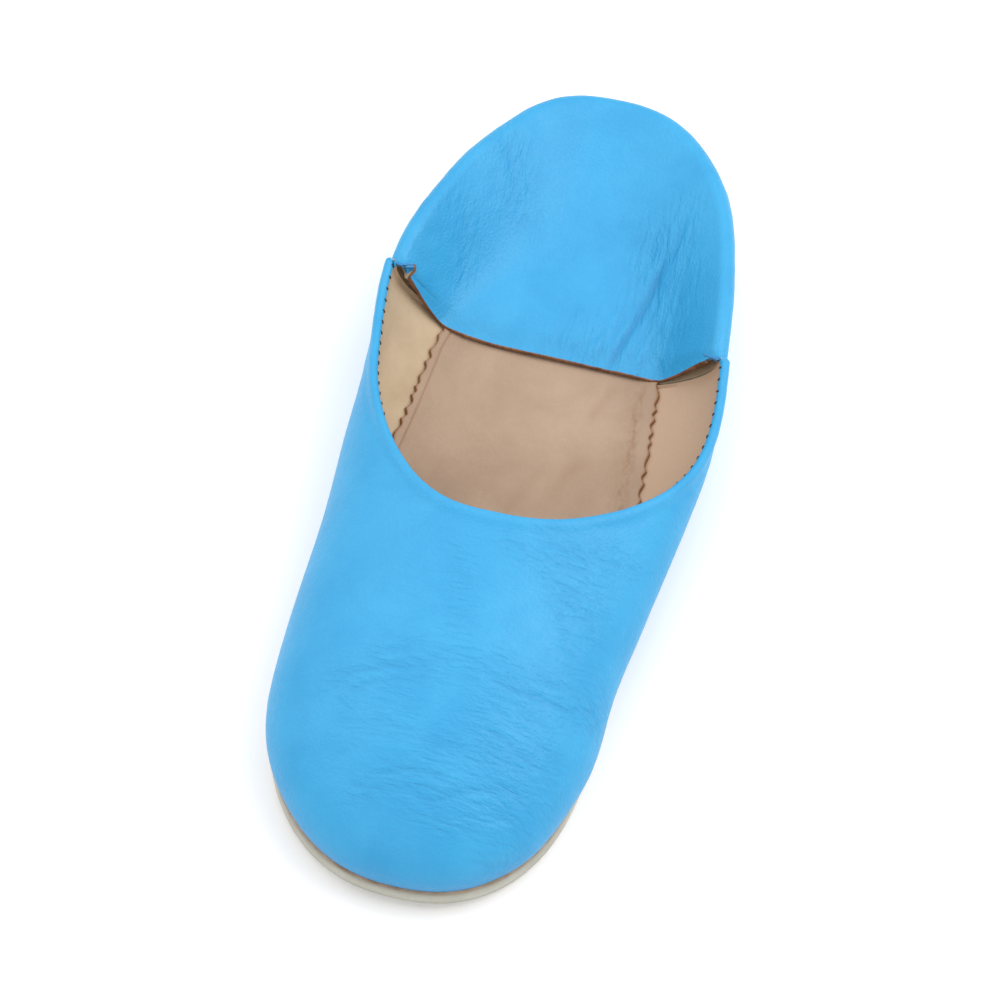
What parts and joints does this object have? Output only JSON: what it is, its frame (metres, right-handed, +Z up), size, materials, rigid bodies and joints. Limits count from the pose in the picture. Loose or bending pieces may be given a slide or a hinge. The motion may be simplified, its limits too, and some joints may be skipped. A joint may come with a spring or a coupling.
{
  "type": "babouche slipper",
  "caption": "Left leather babouche slipper with a flat sole, a plain rounded vamp and its heel quarter folded down flat inside.",
  "frame": {"origin": "under the middle of the shoe's box, on the ground", "axes": "+Y from the toe to the heel, +X to the lateral side, +Z up"},
  "size_m": [0.1026, 0.2622, 0.0439],
  "materials": {
    "blue_goatskin": "sky blue goatskin, smooth with fine grain and soft creases",
    "natural_leather": "undyed tan sheepskin, matt",
    "sole_leather": "pale sole leather with a cut edge"
  },
  "bodies": {
    "root": {"outsole": "sole_leather", "insole": "natural_leather", "vamp": "blue_goatskin", "heel_quarter": "blue_goatskin"}
  },
  "joints": []
}
